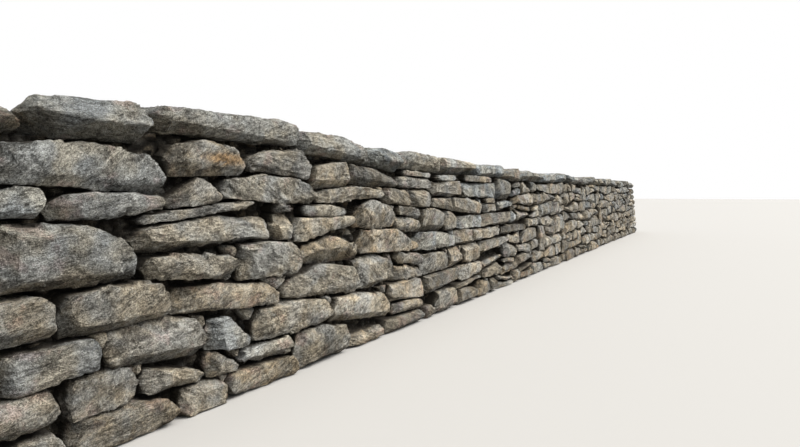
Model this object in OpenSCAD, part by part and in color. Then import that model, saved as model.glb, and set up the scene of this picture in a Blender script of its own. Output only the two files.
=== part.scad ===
/* [Wall] */
// Length of one bay of walling
bay_length = 3000; // [2400:100:3600]
// Number of whole bays
bay_count = 6; // [3:1:8]
// Thickness across the footings
base_thickness = 800; // [720:10:960]
// Thickness across the top course, under the cap stones
top_thickness = 560; // [500:10:640]
// Thickness of the small-stone hearting between the two faces
hearting_thickness = 200; // [140:10:240]

/* [Courses] */
// Height of the footing stones
footing_rise = 170; // [120:5:220]
// Height of one course of face stones
course_rise = 175; // [150:5:210]
// Number of courses between the footings and the cap stones
course_count = 7; // [5:1:8]
// How much lower the crest lies beyond the first bays
crest_fall = 95; // [0:5:150]
// Distance along the wall over which the crest comes down
crest_fall_run = 5000; // [3000:100:7000]

/* [Face stones] */
// Shortest face stone
stone_min = 250; // [220:10:340]
// Longest face stone away from the large stones of the first bays
stone_max = 720; // [560:10:900]
// Open joint between two stones of one course
joint = 14; // [8:1:22]
// How far a joint keeps from the joints of the course below
stagger = 90; // [50:5:120]
// How much the top of a stone may stand over or under its course line
top_wander = 34; // [0:2:40]
// How far the course lines rise and fall away from the first bays
course_wave = 34; // [0:2:45]
// Length over which a course line rises and falls once
wave_run = 2300; // [1500:100:4000]
// How much a joint between two stones may lean, as run over rise
joint_lean = 0.45; // [0:0.05:0.6]
// How far a face stone may lie behind the face line
face_wander = 22; // [0:1:30]
// Share of the stones that stand two courses high
tall_share = 0.16; // [0:0.01:0.2]
// Share of the stones that carry a thin levelling slab
slab_share = 0.16; // [0:0.01:0.3]
// Share of the open joints that are pinned with a small stone
pin_share = 0.8; // [0.1:0.05:0.9]

/* [Cap stones] */
// Height of the cap stones over the top course
cap_rise = 170; // [120:5:220]
// How far the cap stones stand out past the top course
cap_overhang = 22; // [0:1:40]
// Shortest cap stone
cap_min = 440; // [400:10:600]
// Longest cap stone away from the first bays
cap_max = 880; // [700:10:1200]

/* [Wall ends] */
// Length of the end stones that tie into the faces
end_tie = 480; // [360:10:560]
// Length of the end stones between the ties
end_short = 220; // [180:10:300]

/* [Hidden] */
// Fit and limits of the laying
seat_gap = 0.35;
max_tilt = 0.11;
thinnest = 45;
shortest_stretch = 120;
// Where a stone's noses and its middle top point lie, as lowest share and spread
nose_share = [0.35, 0.3];
middle_share = [0.4, 0.2];
// Least and greatest slant of a stone's ends, and how far its underside stays back
slant_range = [15, 90];
least_slant = 8;
most_slant_share = 0.3;
underside_retreat = 10;
underside_share = 0.05;
// Share of the joints that lean, and how far the corners stay back from a leaning joint
leaning_share = 0.6;
corner_retreat = 12;
// Thin slabs, as share of a course's height, and how far they stay back from a stone's ends
slab_of_course = 0.36;
slab_slants = [25, 25];
slab_retreat = [0.03, 0.2];
// How much of the wave the footings and the top course take on, and its shift from course to course
calm_share = 0.35;
wave_shift = 110;
// Small stones in the joints
pin_depth = 120;
pin_smallest = 34;
pin_clearance = 6;
pin_lift = 4;
// How long a tall stone is between the shortest and the longest, and how much short stones prevail
tall_length_share = 0.25;
short_bias = 1.3;
// Seeds of the laying, and the steps between those of courses, stones, leans and pins
front_seed = 31;
back_seed = 77;
cap_seed = 501;
cap_outline_seed = 900;
set_back_seed = 60;
end_set_back_seeds = [91, 92];
cap_set_back_seed = 707;
pin_seeds = [300, 400];
course_step = 1000;
stone_step = 11;
lean_step = 500;
pin_course_step = 40;
pin_step = 13;

// Derived sizes, measured along the wall from its left end
wall_length = bay_length * bay_count;
under_caps = footing_rise + course_count * course_rise;
fall_start = 500;
tie_courses = [1, 3, 6];
// Courses whose end stone ends over or under its course line, and by how much
end_overs = [[3, 55], [6, -25]];

// Stones of the first bays of the front face, one row for each course from the footing up.
// A stone is [length, top at left, middle and right over the course line,
// slant of its left and right end, thickness of a slab laid on it]. A length alone is a stretch
// that the high stones of the course below and the deep ones of the course above take up.
front_rows = [
    [
        [260, -10, 0, -10, 20, 30, 0], [590, 0, 10, -40, 40, 60, 0], [330, -30, -20, -30, 30, 30, 0],
        [610, -20, -25, -40, 40, 30, 0], [620, 80, 85, 40, 50, 60, 0], [500, -55, -60, -55, 30, 40, 0],
        [700, -45, -40, -45, 40, 30, 0], [260, -45, -40, -45, 30, 30, 0], [520, 55, 60, 50, 60, 50, 0],
        [540, 10, 15, -20, 30, 50, 0]
    ],
    [
        [380, 10, 12, 0, 40, 40, 0], [400, -35, -60, -110, 30, 60, 0], [250, -50, -60, -105, 30, 50, 0],
        [500, -85, -80, -85, 40, 40, 0], [1300], [530, -105, -100, -110, 40, 40, 0], [770],
        [700, -100, -90, -100, 50, 40, 0]
    ],
    [
        [460, 10, 12, 5, 30, 35, 0], [600, -5, 15, -22, 40, 55, 0], [370, -65, -45, -135, 30, 110, 0],
        [790, -55, -40, -85, 60, 60, 0], [810, -100, -100, -145, 60, 80, 0],
        [630, -100, -90, -100, 50, 50, 0], [880, -100, -90, -95, 50, 60, 0],
        [610, -85, -75, -85, 40, 40, 0], [710, -105, -85, -65, 40, 40, 0]
    ],
    [
        [590, 15, 50, 25, 60, 55, 0], [840, -30, -35, -80, 60, 130, 0], [900, -80, -10, -60, 100, 70, 0],
        [540, -25, 0, -40, 40, 50, 0], [560, -15, -25, -50, 40, 50, 110], [580, -65, -60, -65, 40, 40, 0],
        [360, -50, -45, -50, 30, 30, 0], [460, -45, -35, -45, 40, 40, 0], [1010, -30, -20, -20, 50, 50, 0]
    ],
    [
        [700, 165, 160, 80, 60, 110, 0], [640, -15, -20, -50, 50, 60, 0], [570, 0, 5, -5, 40, 40, 0],
        [760, -30, 25, -55, 80, 70, 0], [960, 35, 30, -75, 60, 110, 0], [840, -20, -25, -75, 80, 60, 0],
        [450, -40, -35, -40, 30, 30, 0], [920, -50, -45, -50, 50, 60, 0], [1070, -55, -45, -55, 60, 60, 0]
    ],
    [
        [1000, 15, 60, 55, 80, 60, 60], [220, 60, 65, 55, 20, 20, 60], [770, 50, 60, 50, 60, 60, 85],
        [590, 40, 105, 45, 60, 70, 0], [480, 50, 45, 20, 40, 40, 90], [530, 30, 35, 20, 50, 50, 0],
        [310, 0, 0, -10, 30, 30, 0], [720, -55, -50, -55, 50, 50, 0], [1030, -50, -45, -50, 60, 60, 0]
    ],
    [
        [620, -70, -50, -55, 60, 50, 0], [370, -40, 35, -20, 80, 70, 0], [900, 35, 75, 60, 40, 150, 0],
        [910, -5, 35, 20, 60, 60, 0], [470, 35, 40, 30, 40, 40, 0], [440, 40, 45, 35, 40, 40, 0],
        [490, -35, -30, -35, 40, 40, 0], [870, -20, -30, -75, 60, 60, 0], [450, -40, -35, -40, 30, 30, 60],
        [670, -70, -65, -75, 40, 40, 0]
    ],
    [
        [870, -25, 5, -40, 60, 80, 0], [580, 20, 70, 35, 60, 60, 0], [650, 15, 65, 90, 50, 130, 0],
        [460, -20, 15, 40, 40, 40, 0], [790, 30, 20, -40, 50, 80, 0], [650, 35, 40, 40, 50, 50, 55],
        [710, 25, 40, 40, 50, 50, 60], [1090, 45, 55, 50, 60, 60, 70], [600, 40, 45, 35, 50, 50, 0]
    ]
];
// The first stone of this course lies on the shoulder of the large stone below it
shoulder_course = 5;
shoulder_start = 870;
// Cap stones of the first bays, listed in the same way
cap_row = [
    [420, -20, -15, -50, 30, 70, 0], [610, 28, 42, 48, 60, 60, 0], [1170, 60, 75, 112, 90, 50, 0],
    [910, 60, 75, 35, 60, 80, 0], [520, 25, 38, 30, 50, 50, 0], [800, 25, 60, 35, 60, 60, 0],
    [920, 55, 60, 55, 70, 70, 0], [1040, 45, 45, 40, 70, 60, 0]
];

// Small helpers
function between(low, value, high) = max(low, min(high, value));
function last(list) = list[len(list) - 1];
function eased(t) = t * t * (3 - 2 * t);
function total(list) = list * [for (value = list) 1];

// Heights of the course lines and half the thickness of the wall
function level(k) = k < 0 ? 0 : footing_rise + k * course_rise;
function fall_share(x) = crest_fall * eased(between(0, (x - fall_start) / crest_fall_run, 1)) / under_caps;
function course_line(k, x) = level(k) * (1 - fall_share(x));
function wave(k, x) =
    course_wave * (k == 0 || k == course_count ? calm_share : 1) * sin(360 * x / wave_run + wave_shift * k);
function half_thickness(z) = (base_thickness - (base_thickness - top_thickness) * z / under_caps) / 2;

// Points of the top edges below that lie under the stretch from a to b
function points_under(edges, a, b) = [
    for (edge = edges)
        if (edge[0][0] < b && last(edge)[0] > a)
            each concat(
                [for (p = edge) if (p[0] >= a && p[0] <= b) p],
                [for (x = [a, b]) if (edge[0][0] < x && last(edge)[0] > x) [x, lookup(x, edge)]]
            )
];

// The straight bed on which a stone rests: height at its middle, slope and middle
function tilted_bed(points, middle, tilt) = [
    max([for (p = points) p[1] - tilt * (p[0] - middle)]) + seat_gap, tilt, middle
];
function bed_over(points, middle) =
    let (
        chords = [
            for (l = points, r = points)
                if (l[0] <= middle && r[0] > middle)
                    let (slope = (r[1] - l[1]) / (r[0] - l[0]))
                    [l[1] + slope * (middle - l[0]), slope]
        ],
        highest = max([for (c = chords) c[0]]),
        slope = len(chords) == 0 ? 0 : [for (c = chords) if (c[0] == highest) c[1]][0]
    )
    tilted_bed(points, middle, between(-max_tilt, slope, max_tilt));
function on_bed(bed, x) = bed[0] + bed[1] * (x - bed[2]);

// Outline of a stone in the face, as [left nose, three top points, right nose, underside]
function stone_outline(a, b, tops, slants, bed, seed) =
    let (
        draw = rands(0, 1, 4, seed),
        size = b - a,
        left = between(least_slant, slants[0], size * most_slant_share),
        right = between(least_slant, slants[1], size * most_slant_share),
        middle = a + size * (middle_share[0] + middle_share[1] * draw[0]),
        under = underside_retreat + underside_share * size * draw[1],
        nose_left = nose_share[0] + nose_share[1] * draw[2],
        nose_right = nose_share[0] + nose_share[1] * draw[3],
        z_left = max(tops[0], on_bed(bed, a + left) + thinnest),
        z_middle = max(tops[1], on_bed(bed, middle) + thinnest),
        z_right = max(tops[2], on_bed(bed, b - right) + thinnest)
    )
    [
        [a, on_bed(bed, a) + (z_left - on_bed(bed, a)) * nose_left],
        [a + left, z_left],
        [middle, z_middle],
        [b - right, z_right],
        [b, on_bed(bed, b) + (z_right - on_bed(bed, b)) * nose_right],
        [b - under, on_bed(bed, b - under)],
        [a + under, on_bed(bed, a + under)]
    ];

// A joint that leans passes through its middle and is followed by the stones on both sides
function on_joint(x, lean, z) = x + lean[0] * (z - lean[1]);
function moved(p, x, lean, inwards) = lean[0] == 0 ? p : [on_joint(x, lean, p[1]) + inwards, p[1]];
function moved_under(p, x, lean, inwards, bed) =
    let (q = moved(p, x, lean, inwards)) [q[0], on_bed(bed, q[0])];

// An outline with its left and right side moved to the lean of their joints
function leant(outline, leans, bed) =
    let (a = outline[0][0], b = outline[4][0])
    [
        moved(outline[0], a, leans[0], 0),
        moved(outline[1], a, leans[0], corner_retreat),
        outline[2],
        moved(outline[3], b, leans[1], -corner_retreat),
        moved(outline[4], b, leans[1], 0),
        moved_under(outline[5], b, leans[1], -corner_retreat, bed),
        moved_under(outline[6], a, leans[0], corner_retreat, bed)
    ];

// The upper side of an outline, without a nose that lies further in than its top corner
function top_edge(outline) = [
    for (i = [0 : 4])
        if ((i > 0 || outline[0][0] < outline[1][0]) && (i < 4 || outline[4][0] > outline[3][0])) outline[i]
];
function bed_for(edges, a, b) =
    len(edges) == 0 ? [0, 0, a] : bed_over(points_under(edges, a, b), (a + b) / 2);

// One place in a course: a stone, or a stone with a thin slab on it
function laid(place, edges, seed, leans = [[0, 0], [0, 0]]) =
    let (
        a = place[0] + joint / 2,
        b = place[1] - joint / 2,
        reach = [for (lean = leans) abs(lean[0]) * course_rise],
        tops = place[2],
        slab = place[4],
        bed = bed_for(edges, a - reach[0], b + reach[1]),
        body = leant(stone_outline(a, b, [for (t = tops) t - slab], place[3], bed, seed), leans, bed),
        draw = rands(slab_retreat[0], slab_retreat[1], 2, seed + 1),
        slab_a = a + draw[0] * (b - a),
        slab_b = b - draw[1] * (b - a),
        slab_bed = bed_for([top_edge(body)], slab_a, slab_b)
    )
    slab == 0 ? [body] : [body, stone_outline(slab_a, slab_b, tops, slab_slants, slab_bed, seed + 2)];

// The top of a stone that lies under the tie of a wall end stays at the height of the end stone
function free_top(k, a, b, x, over) =
    course_line(k, x) + (a < end_tie || b > wall_length - end_tie ? min(end_over(k), over) : over);

// One place from its entry in a listed row; a free one may pass its course line anywhere
function row_place(entry, k, start, free) =
    let (end = start + entry[0])
    [
        start, end,
        [
            for (j = [0, 1, 2])
                let (x = start + entry[0] * j / 2, over = entry[1 + j])
                free ? course_line(k, x) + over : free_top(k, start, end, x, over)
        ],
        [entry[4], entry[5]], entry[6], false
    ];

// Places taken from a listed row, from start on, as long as they end before stop
function row_places(row, k, start, stop, i = 0) =
    i >= len(row) || start + row[i][0] > stop ? [] : concat(
        len(row[i]) == 1 ? []
            : [row_place(row[i], k, start, row == cap_row || (k == shoulder_course - 1 && i == 0))],
        row_places(row, k, start + row[i][0], stop, i + 1)
    );

// A place whose height, slants and slab follow a rule with a fixed seed
function ruled_top(k, a, b, x, rise, draw) =
    free_top(k, a, b, x, rise + wave(k, x) + top_wander * (2 * draw - 1));
function ruled_slant(draw) = slant_range[0] + (slant_range[1] - slant_range[0]) * draw;
function ruled_place(k, a, b, draw, tall) =
    let (
        rise = tall ? level(k + 1) - level(k) : 0,
        slab = !tall && draw[1] < slab_share && b - a > stone_min ? course_rise * slab_of_course : 0
    )
    [
        a, b,
        [for (i = [0, 1, 2]) ruled_top(k, a, b, a + (b - a) * i / 2, rise, draw[2 + i])],
        [ruled_slant(draw[5]), ruled_slant(draw[6])], slab, tall
    ];

// Lean of the joint before place j and the height it passes through; the listed stones,
// tall stones and stones with a slab keep upright joints
function joint_free(places, j) = !places[j][5] && places[j][4] == 0;
function joint_leans(k, places, j, listed) =
    let (
        x = j < len(places) ? places[j][0] : 0,
        draw = rands(0, 1, 2, floor(x) + lean_step * k),
        free = k > 0 && j > listed && j < len(places) && places[j - 1][1] == x && draw[0] < leaning_share
    )
    !free ? [0, 0]
        : joint_free(places, j - 1) && joint_free(places, j)
            ? [joint_lean * (2 * draw[1] - 1), course_line(k, x) - course_rise / 2]
            : [0, 0];

// Places that fill the stretch from a to b, with joints clear of those in avoid;
// tall_rule is the chance of a tall stone and where the first one may lie
function ruled_places(k, a, b, sizes, avoid, tall_rule, seed) =
    let (
        draw = rands(0, 1, 7, seed),
        tall = draw[0] < tall_rule[0] && a > tall_rule[1] && a + stone_max < wall_length - end_tie,
        share = tall ? tall_length_share : pow(rands(0, 1, 1, seed + 3)[0], short_bias),
        wish = a + sizes[0] + (sizes[1] - sizes[0]) * share,
        near = [for (x = avoid) if (abs(x - wish) < stagger) x],
        next = len(near) > 0 ? near[0] + stagger : wish
    )
    b - next < sizes[0] ? [ruled_place(k, a, b, draw, false)] : concat(
        [ruled_place(k, a, next, draw, tall)],
        ruled_places(k, next, b, sizes, avoid, tall_rule, seed + 7)
    );

// Stretches of a course that the tall stones of the course below leave free
function free_stretches(a, b, talls) =
    let (edges = concat([a], [for (p = talls) if (p[0] >= a) each [p[0], p[1]]], [b]))
    [
        for (i = [0 : 2 : len(edges) - 2])
            if (edges[i + 1] - edges[i] > shortest_stretch) [edges[i], edges[i + 1]]
    ];

// End stones, the same at both ends of the wall
function end_length(k) = len(search(k, tie_courses)) > 0 ? end_tie : end_short;
function end_over(k) = let (found = search(k, end_overs)) len(found) > 0 ? end_overs[found[0]][1] : 0;
function end_top(k) = k < 0 ? 0 : course_line(k, 0) + end_over(k);
function far_end_top(k) = k < 0 ? 0 : course_line(k, wall_length) + end_over(k);
function end_edges(k) = [
    [[0, end_top(k)], [end_length(k), end_top(k)]],
    [[wall_length - end_length(k), far_end_top(k)], [wall_length, far_end_top(k)]]
];

// A course is [places, outlines, top edges]; it is laid on the two courses below
function laid_course(k, row, rows_end, under, seed) =
    let (
        a = k == shoulder_course && len(row) > 0 ? shoulder_start : end_length(k),
        b = wall_length - end_length(k),
        listed = row_places(row, k, a, b - 2 * stone_min),
        from = len(listed) == 0 ? a : last(listed)[1],
        below = len(under) == 0 ? [] : last(under)[0],
        tall_chance = k > 0 && k < course_count ? tall_share : 0,
        tall_from = max(end_tie, rows_end),
        ruled = [
            for (s = free_stretches(from, b, [for (p = below) if (p[5]) p]))
                each ruled_places(k, s[0], s[1], [stone_min, stone_max], [for (p = below) p[1]],
                    [tall_chance, tall_from], seed + floor(s[0]))
        ],
        places = concat(listed, ruled),
        edges = [for (i = [max(0, len(under) - 2) : 1 : len(under) - 1]) each under[i][2]],
        outlines = [
            for (i = [0 : len(places) - 1])
                let (leans = [for (j = [i, i + 1]) joint_leans(k, places, j, len(listed))])
                each laid(places[i], edges, seed + stone_step * i, leans)
        ]
    )
    [places, outlines, concat([for (o = outlines) top_edge(o)], end_edges(k))];
function laid_face(rows, seed, done = []) =
    let (
        k = len(done),
        row = k < len(rows) ? rows[k] : [],
        rows_end = max([0, for (r = rows) end_tie + total([for (entry = r) entry[0]])]),
        course_seed = seed + course_step * k
    )
    k > course_count ? done
        : laid_face(rows, seed, concat(done, [laid_course(k, row, rows_end, done, course_seed)]));

front_face = laid_face(front_rows, front_seed);
back_face = laid_face([], back_seed);

// Cap stones rest on the top courses of both faces
function top_edges(face) = concat(face[course_count][2], face[course_count - 1][2]);
cap_places = let (
    listed = row_places(cap_row, course_count, 0, wall_length - 2 * cap_min),
    sizes = [cap_min, cap_max],
    ruled = ruled_places(course_count, last(listed)[1], wall_length, sizes, [], [0, 0], cap_seed)
) concat(listed, [for (p = ruled) [p[0], p[1], p[2], p[3], 0, false]]);
cap_outlines = [
    for (i = [0 : len(cap_places) - 1])
        let (p = cap_places[i])
        laid(
            [p[0], p[1], [for (t = p[2]) t + cap_rise], p[3], 0, false],
            concat(top_edges(front_face), top_edges(back_face)), cap_outline_seed + stone_step * i
        )[0]
];

// Pins fill the hollow over the joint of two neighbours, under the stone that bridges it
function hollow_pins(k, face, seed) =
    let (tops = face[k - 1][1], uppers = face[k][1])
    [
        for (i = [0 : 1 : len(tops) - 2])
            let (
                l = tops[i],
                r = tops[i + 1],
                x = (l[4][0] + r[0][0]) / 2,
                low = max(l[4][1], r[0][1]) + pin_lift,
                over = [for (u = uppers) if (u[6][0] < l[3][0] && u[5][0] > r[1][0]) u],
                draw = rands(0, 1, 2, seed + pin_step * i)
            )
            if (abs(l[4][0] - r[0][0]) < 2 * joint && len(over) > 0 && draw[0] < pin_share)
                let (
                    underside = [over[0][6], over[0][5]],
                    ends = [l[3][0] + pin_clearance, r[1][0] - pin_clearance],
                    top = [for (end = ends) [end, lookup(end, underside) - seat_gap]],
                    others = [
                        for (t = tops)
                            if (t != l && t != r && t[0][0] < ends[1] && t[4][0] > ends[0]) t
                    ],
                    rise = min(top[0][1], top[1][1]) - low
                )
                if (len(others) == 0 && rise > pin_smallest && ends[1] - ends[0] > pin_smallest)
                    [top[0], top[1], [x, low], draw[1]]
    ];

// Places a prism with this outline between two distances behind the front plane
module slab_of_stone(outline, from, to) {
    translate([-wall_length / 2, to, 0])
        rotate([90, 0, 0])
            linear_extrude(to - from)
                polygon(outline);
}

// Stones of one course of one face; side is -1 for the front and 1 for the back
module face_stones(face, k, side) {
    outer = half_thickness(level(k - 1));
    inner = hearting_thickness / 2 + seat_gap;
    set_back = rands(0, face_wander, len(face[k][1]), set_back_seed + k + side);
    for (i = [0 : len(face[k][1]) - 1]) {
        reach = outer - (k == 0 ? set_back[i] / 2 : set_back[i]);
        slab_of_stone(face[k][1][i], side < 0 ? -reach : inner, side < 0 ? -inner : reach);
    }
}

module front_footing() {
    color("#77746c") face_stones(front_face, 0, -1);
}

module back_footing() {
    color("#77746c") face_stones(back_face, 0, 1);
}

module front_course(k) {
    color(k % 2 == 0 ? "#8d8a82" : "#98958c") face_stones(front_face, k, -1);
}

module back_course(k) {
    color(k % 2 == 0 ? "#8d8a82" : "#98958c") face_stones(back_face, k, 1);
}

// Full-width stones that close the end of the wall at x = 0 of a run
function end_stone(k, tops, length, set_back) =
    let (bottom = k == 0 ? 0 : tops[k - 1] + seat_gap)
    [[set_back, bottom], [length, bottom], [length, tops[k]], [set_back, tops[k]]];

module end_stones(tops, at_left, seed) {
    set_back = rands(0, face_wander, course_count + 1, seed);
    for (k = [0 : course_count]) {
        reach = half_thickness(level(k - 1));
        outline = end_stone(k, tops, end_length(k) - joint / 2, k == 0 ? 0 : set_back[k]);
        slab_of_stone(at_left ? outline : [for (p = outline) [wall_length - p[0], p[1]]], -reach, reach);
    }
}

module left_end_stones() {
    tops = [for (k = [0 : course_count]) end_top(k)];
    color("#8a867c") end_stones(tops, true, end_set_back_seeds[0]);
}

module right_end_stones() {
    tops = [for (k = [0 : course_count]) far_end_top(k)];
    color("#8a867c") end_stones(tops, false, end_set_back_seeds[1]);
}

// Small stones wedged into the joints, further behind the face than any face stone
module pins(face, side, seed) {
    for (k = [1 : course_count])
        for (pin = hollow_pins(k, face, seed + pin_course_step * k)) {
            outer = half_thickness(level(k)) - face_wander * (1 + pin[3]);
            slab_of_stone(
                [pin[0], pin[1], pin[2]],
                side < 0 ? -outer : outer - pin_depth,
                side < 0 ? pin_depth - outer : outer
            );
        }
}

module front_pins() {
    color("#a39f95") pins(front_face, -1, pin_seeds[0]);
}

module back_pins() {
    color("#a39f95") pins(back_face, 1, pin_seeds[1]);
}

// Where the hearting begins at the foot of one end stone, over a longer one with a fit gap
function step_foot(k, top_below) =
    k == 0 ? 0 : top_below + (end_length(k - 1) > end_length(k) ? seat_gap : 0);

// Packed small stones between the faces, as one mass up to the undersides of the caps
module hearting() {
    top = [
        for (i = [0 : len(cap_outlines) - 1])
            each [for (p = [cap_outlines[i][6], cap_outlines[i][5]]) [p[0], p[1] - seat_gap]]
    ];
    inner_end = end_length(course_count);
    inner_top = [for (p = top) if (p[0] > inner_end && p[0] < wall_length - inner_end) p];
    left_steps = [
        for (k = [0 : course_count])
            let (x = end_length(k) - joint / 2 + seat_gap)
            each [[x, step_foot(k, end_top(k - 1))], [x, end_top(k)]]
    ];
    right_steps = [
        for (k = [course_count : -1 : 0])
            let (x = wall_length - end_length(k) + joint / 2 - seat_gap)
            each [[x, far_end_top(k)], [x, step_foot(k, far_end_top(k - 1))]]
    ];
    reach = hearting_thickness / 2;
    color("#5f5b53") slab_of_stone(concat(left_steps, inner_top, right_steps), -reach, reach);
}

module cap_stones() {
    reach = top_thickness / 2 + cap_overhang;
    set_back = rands(0, cap_overhang, 2 * len(cap_outlines), cap_set_back_seed);
    color("#9c998f")
        for (i = [0 : len(cap_outlines) - 1])
            slab_of_stone(cap_outlines[i], -reach + set_back[2 * i], reach - set_back[2 * i + 1]);
}

front_footing();
back_footing();
for (k = [1 : course_count]) {
    front_course(k);
    back_course(k);
}
left_end_stones();
right_end_stones();
front_pins();
back_pins();
hearting();
cap_stones();
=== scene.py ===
"""A dry stone wall: every stone of the frame is dressed as a weathered field stone of gneiss."""

import math
import random

import bmesh
import bpy
from mathutils import Matrix, Vector, noise


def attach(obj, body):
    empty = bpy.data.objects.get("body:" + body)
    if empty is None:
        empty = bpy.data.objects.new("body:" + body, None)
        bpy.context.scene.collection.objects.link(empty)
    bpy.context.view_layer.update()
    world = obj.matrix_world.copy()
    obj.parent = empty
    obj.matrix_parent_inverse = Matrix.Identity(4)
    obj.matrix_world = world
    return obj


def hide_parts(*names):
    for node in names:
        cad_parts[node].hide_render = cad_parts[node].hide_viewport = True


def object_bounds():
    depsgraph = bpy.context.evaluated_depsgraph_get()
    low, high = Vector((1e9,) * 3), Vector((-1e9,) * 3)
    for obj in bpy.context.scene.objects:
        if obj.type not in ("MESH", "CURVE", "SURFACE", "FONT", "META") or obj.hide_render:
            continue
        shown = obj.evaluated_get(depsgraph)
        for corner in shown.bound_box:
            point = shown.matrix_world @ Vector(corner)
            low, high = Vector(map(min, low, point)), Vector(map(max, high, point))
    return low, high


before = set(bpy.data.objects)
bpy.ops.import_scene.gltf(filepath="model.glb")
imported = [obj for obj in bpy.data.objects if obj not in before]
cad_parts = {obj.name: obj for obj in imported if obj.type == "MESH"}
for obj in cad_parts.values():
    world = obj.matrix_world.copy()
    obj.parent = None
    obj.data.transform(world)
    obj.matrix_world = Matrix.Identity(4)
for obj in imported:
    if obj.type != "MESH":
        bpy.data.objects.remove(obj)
cad_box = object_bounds()

# The photograph's view, in metres and degrees
EYE_HEIGHT = 1.16
EYE_BEFORE_FACE = 2.385
EYE_BEFORE_END = 1.025
TURN_FROM_WALL = 28.75
PITCH_DOWN = 2.91
LENS_MM = 27.0
SENSOR_MM = 36.0
SEEN_TO = 200.0

# How finely the stones are meshed: up to this distance from the near end, this voxel
FACE_VOXELS = ((2.2, 0.0105), (4.2, 0.0135), (8.0, 0.019), (99.0, 0.027))
CAP_VOXELS = ((4.2, 0.013), (99.0, 0.024))
PIN_VOXELS = ((4.2, 0.011), (99.0, 0.022))
BACK_VOXELS = ((99.0, 0.028),)
END_VOXELS = ((99.0, 0.017),)
# Behind this depth a stone lies hidden between its neighbours and is meshed coarsely
SHOWN_DEPTH = 0.1
HIDDEN_SQUEEZE = 6.0
# From this voxel up a stone is meshed along its edges, so that they stay crisp
CRISP_VOXEL = 0.018
# Down to this depth a corner counts as one of the shown side
EDGE_DEPTH = 0.06
# The slope of an edge counts where it runs over this share of the side, up to the steepest
EDGE_RUN = 0.3
STEEPEST_EDGE = 0.4
# Down to this depth a dressed stone fills the outline of its CAD solid, in height and along the wall
FIT_DEPTH = 0.08
FIT_DEPTH_ALONG = 0.13
# Corners closer together than this are one corner
WELD = 0.00005
# Sides that meet at less than this, in degrees, are one flat side
FLAT_ANGLE = 0.2
# Up to this depth from its inner end a stone is cut off behind and closed with one face
HIDDEN_END = 0.012
# How much a dressed stone may be squeezed or stretched to fill its place
FIT_RANGE = (0.95, 1.12)
# A stone fills at most this share of the grid of its crisp remesh
CRISP_SHARE = 0.98
# Behind this depth the sides of a stone darken with painted shade: near stones, and coarsely meshed
# ones
NEAR_RIM = 0.02
FAR_RIM = 0.004
# How much wider the joints between coarsely meshed stones are left
FAR_JOINT = 0.01
# How far every stone swells to close its joints
SWELL = 0.003
# Down to this depth the surface of a stone is roughened
ROUGH_DEPTH = SHOWN_DEPTH * 1.5

# The packing behind the joints: half thickness of the wall at its foot and under the caps,
# how far behind the face it lies, the size of its small stones and how finely it is meshed
FOOT_HALF = 0.40
TOP_HALF = 0.28
UNDER_CAPS = 1.395
PACKING_DEPTH = 0.155
PACKING_STONE = 0.085
PACKING_COLUMNS = ((4.0, 0.02), (8.0, 0.035), (99.0, 0.07))
PACKING_ROW = 0.024
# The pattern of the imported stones: how much flatter than long they are, how far apart the patterns
# of the two sides lie, and the width of the gaps between stones as share of a stone
PACKING_FLATNESS = 1.4
PACKING_SIDES = 3.0
PACKING_JOINT = 0.35
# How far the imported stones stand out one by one, bulge and tilt, and how much the top ones rise
PACKING_STEP = 0.022
PACKING_ROUND = 0.03
PACKING_TILT = 0.03
PACKING_LIFT = 0.012
PACKING_LIFT_FROM = 0.8

# Degrees by which the upper and the lower break of a stone's face lean back and forward,
# the shares of its height that they take, and the share of stones that have each
FACE_BREAKS = (((10.0, 42.0), (0.08, 0.42), 0.8), ((-54.0, -24.0), (0.1, 0.34), 0.85))
CAP_BREAKS = (((16.0, 40.0), (0.25, 0.5), 0.95), ((-60.0, -40.0), (0.2, 0.5), 0.95))
# How far these breaks may be turned to one side
BREAK_SKEW = 0.06
# The deepest that a break may reach behind the face of a face stone and of a cap
FACE_BREAK_DEPTH = 0.075
CAP_BREAK_DEPTH = 0.16
# Share of stones with a broad facet at the end that faces the near end of the wall, its extent
# along the face and into the wall, the share of a stone's length that it may take, and how far it
# leans up or down
FACET_SHARE = 0.75
FACET_ALONG = (0.03, 0.14)
FACET_DEEP = (0.04, 0.1)
FACET_OF_LENGTH = 0.3
FACET_LEAN = 0.6
# The broad breaks of a face: how many, by how many degrees they are turned, how much they lean up
# or down, and their depth as share of what the turn gives and at most
YAW_BREAKS = (1, 2)
YAW_TURN = (1.5, 6.0)
YAW_LEAN = (-0.1, 0.15)
YAW_SHARE = (0.3, 0.6)
YAW_DEEPEST = 0.016
# Chips off the upper, lower and side rims of a face: how far along the face and how far into the
# wall they reach, and how far the upper and lower ones lean sideways and the side ones up or down
UPPER_CHIP = ((0.012, 0.045), (0.015, 0.06))
LOWER_CHIP = ((0.008, 0.04), (0.02, 0.065))
SIDE_CHIP = ((0.006, 0.024), (0.012, 0.05))
CHIP_SKEW = 0.25
SIDE_CHIP_LEAN = (-0.5, 0.6)
# Chips off the corners of a face: their depth, the share of corners that have one, and how far
# they lean up or down and out
CORNER_CHIP = (0.004, 0.018)
CORNER_SHARE = 0.5
CORNER_LEAN = (0.4, 1.3)
CORNER_OUT = (0.0, 0.5)
# The breaks of a cap's top: how many, how far they lean across and along the wall, their depth
CROWN_BREAKS = 3
CROWN_LEAN_ACROSS = 0.22
CROWN_LEAN_ALONG = 0.16
CROWN_DEPTH = (0.004, 0.02)
# How much larger the corner chips of the squared end stones are, and how far back their sharp
# upright corners are broken
END_CORNERS = 2.6
BLUNT_CORNER = 0.03

# How far the foliation of a stone may lean out of the level, in degrees, along the wall and across it
FOLIATION_TURN = 34.0
FOLIATION_ROLL = 14.0
# A stone at least this high loses whole chips from its rims, a lower one smaller chips
WHOLE_CHIP_HEIGHT = 0.15
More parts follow.
